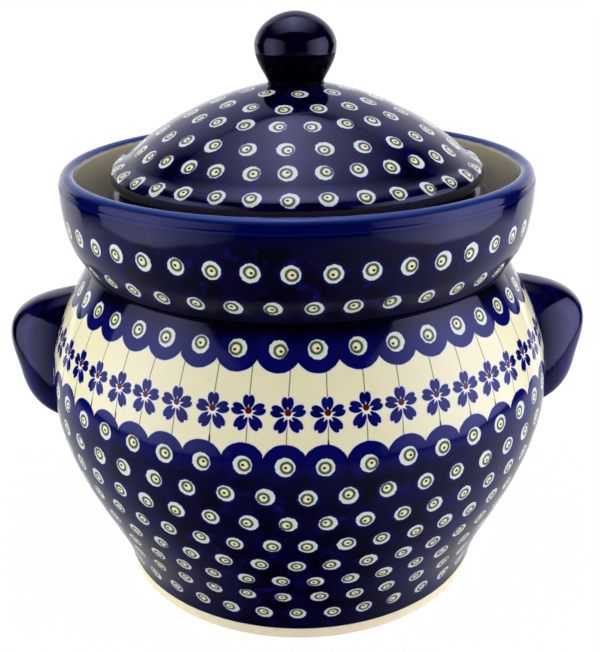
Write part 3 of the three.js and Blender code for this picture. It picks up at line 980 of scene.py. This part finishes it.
def white_floor():
    """A matt floor that the camera sees as white, but for a trace of the crock's shadow."""
    mesh = bpy.data.meshes.new("floor")
    corners = ((-1, -1), (1, -1), (1, 1), (-1, 1))
    vertices = [(x * FLOOR_HALF, y * FLOOR_HALF, FLOOR_LEVEL) for x, y in corners]
    mesh.from_pydata(vertices, [], [(0, 1, 2, 3)])
    floor = placed("floor", mesh)
    material = bpy.data.materials.new("floor_white")
    material.use_nodes = True
    tree = material.node_tree
    shader = tree.nodes["Principled BSDF"]
    shader.inputs["Base Color"].default_value = FLOOR_WHITE
    shader.inputs["Roughness"].default_value = 1.0
    shader.inputs["Specular IOR Level"].default_value = 0.0
    start = Wire(tree)
    place = start.node("ShaderNodeTexCoord", {}, {}, "Object")
    camera_ray = start.node("ShaderNodeLightPath", {}, {}, "Is Camera Ray")
    reach = place.node("ShaderNodeVectorMath", {"operation": "LENGTH"}, {0: place}, "Value")
    cleared = (1 - reach.below(SHADOW_REACH, SHADOW_SOFTNESS)).most(FLOOR_CLEARING)
    white = start.node("ShaderNodeEmission", {}, {"Strength": 1.0})
    lit = Wire(tree, shader.outputs[0])
    mixed = start.node("ShaderNodeMixShader", {}, {0: cleared * camera_ray, 1: lit, 2: white})
    mixed.feed(tree.nodes["Material Output"], "Surface")
    floor.data.materials.append(material)
    floor.visible_glossy = False


def soft_panel(name, place, target, width, height, radiance, hot, drops, fading):
    """A rectangular soft light that faces a target. It is brightest at the share hot of its width and
    loses the shares drops towards either side; fading is how fast it falls off across and upwards."""
    light = bpy.data.lights.new(name, "AREA")
    light.shape = "RECTANGLE"
    light.size = width
    light.size_y = height
    light.energy = radiance * math.pi * width * height
    light.color = PANEL_WHITE
    light.use_nodes = True
    tree = light.node_tree
    spot = Wire(tree).node("ShaderNodeNewGeometry", {}, {}, "Parametric")
    x = spot.node("ShaderNodeSeparateXYZ", {}, {0: spot})
    across = x - hot
    sideways = (across * (-drops[0] / hot)).most(across * (drops[1] / (1 - hot)))
    upward = abs(x.other("Y") * 2 - 1)
    strength = (1 - sideways).math("POWER", fading[0]) * (1 - upward).math("POWER", fading[1])
    strength.feed(tree.nodes["Emission"], "Strength")
    panel = bpy.data.objects.new(name, light)
    panel.location = place
    panel.rotation_euler = (Vector(target) - Vector(place)).to_track_quat("-Z", "Y").to_euler()
    bpy.context.scene.collection.objects.link(panel)


def studio_world():
    """White for the camera; reflections see a white backdrop behind and a dark room in front."""
    world = bpy.data.worlds.new("studio")
    bpy.context.scene.world = world
    world.use_nodes = True
    tree = world.node_tree
    start = Wire(tree)
    way = start.node("ShaderNodeTexCoord", {}, {}, "Generated")
    x = way.node("ShaderNodeSeparateXYZ", {}, {0: way})
    y = x.other("Y")
    z = x.other("Z")
    level = distance(x, y)
    away = y / level

    # The backdrop is bright at its foot, and its middle goes on dimly further up
    behind = 1 - away.below(0.62, 0.16)
    high = (1 - away.below(0.8, 0.14)) * z.below(0.76, 0.08)
    backdrop = behind * (z > 0) * (1.15 - z * 1.9).most(high * (0.85 - z * 0.62))

    # The floor is brighter to the back and the right and further out, and ends sooner in front
    floor_light = (away * 0.38 + x / level * 0.12 + behind * 0.1 + 0.445).most(0.0)
    floor_end = behind * 0.28 - 0.28
    floor_glow = floor_light * level * level * (z - floor_end).below(0.0, 0.06)

    reflected = backdrop + floor_glow
    ambient = x * x * x * x * 4.7 + 0.06
    paths = start.node("ShaderNodeLightPath", {}, {}, "Is Camera Ray")
    seen = paths.most(paths.other("Is Transmission Ray"))
    glossy = paths.other("Is Glossy Ray")
    strength = seen + (1 - seen) * (glossy * reflected + (1 - glossy) * ambient)
    low_backdrop = behind * z.below(0.4, 0.4)
    reflected_white = low_backdrop.paint(FLOOR_REFLECTED, BACKDROP_WHITE)
    unseen_white = glossy.paint(AMBIENT_WHITE, reflected_white)
    background = tree.nodes["Background"]
    seen.paint(unseen_white, PLAIN_WHITE).feed(background, "Color")
    strength.feed(background, "Strength")


white_floor()
soft_panel(
    "left_panel", place=(-0.757, -0.386, 0.345), target=(0.0, 0.0, 0.345), width=1.19, height=0.85,
    radiance=1.27, hot=0.425, drops=(0.5, 0.95), fading=(1.0, 0.12),
)
soft_panel(
    "right_panel", place=(0.777, -0.346, 0.345), target=(0.0, 0.0, 0.345), width=1.235, height=0.85,
    radiance=1.74, hot=0.572, drops=(0.92, 0.5), fading=(1.0, 0.12),
)
soft_panel(
    "top_panel", place=(-0.03, 0.08, 0.80), target=(-0.03, 0.08, 0.0), width=1.14, height=0.58,
    radiance=1.8, hot=0.5, drops=(1.0, 1.0), fading=(1.9, 0.2),
)
studio_world()


# The camera stands close in front of the crock, a little above the lid, and looks down on it as the
# photograph does. Its place, turn and lens were fitted to the rim, the foot and the rows of stamps.
CAMERA_DISTANCE = 457.13
CAMERA_HEIGHT = 309.34
CAMERA_YAW = 0.00132
CAMERA_PITCH = 0.38223
CAMERA_ROLL = -0.01193
CAMERA_ROUND = math.radians(-1.35)
LENS = 50.873
CLIP_START = 0.01

forward = Vector((
    math.sin(CAMERA_YAW) * math.cos(CAMERA_PITCH),
    math.cos(CAMERA_YAW) * math.cos(CAMERA_PITCH),
    -math.sin(CAMERA_PITCH),
))
level_right = Vector((math.cos(CAMERA_YAW), -math.sin(CAMERA_YAW), 0.0))
level_up = level_right.cross(forward)
right_way = level_right * math.cos(CAMERA_ROLL) + level_up * math.sin(CAMERA_ROLL)
up_way = level_up * math.cos(CAMERA_ROLL) - level_right * math.sin(CAMERA_ROLL)
lens = bpy.data.cameras.new("camera")
lens.lens = LENS
lens.clip_start = CLIP_START
camera = bpy.data.objects.new("camera", lens)
bpy.context.scene.collection.objects.link(camera)
axes = Matrix((right_way, up_way, -forward)).transposed().to_4x4()
stand = Matrix.Translation((0.0, -CAMERA_DISTANCE * MM, CAMERA_HEIGHT * MM))
camera.matrix_world = Matrix.Rotation(CAMERA_ROUND, 4, "Z") @ stand @ axes
bpy.context.scene.camera = camera
bpy.context.scene.view_settings.view_transform = "Standard"
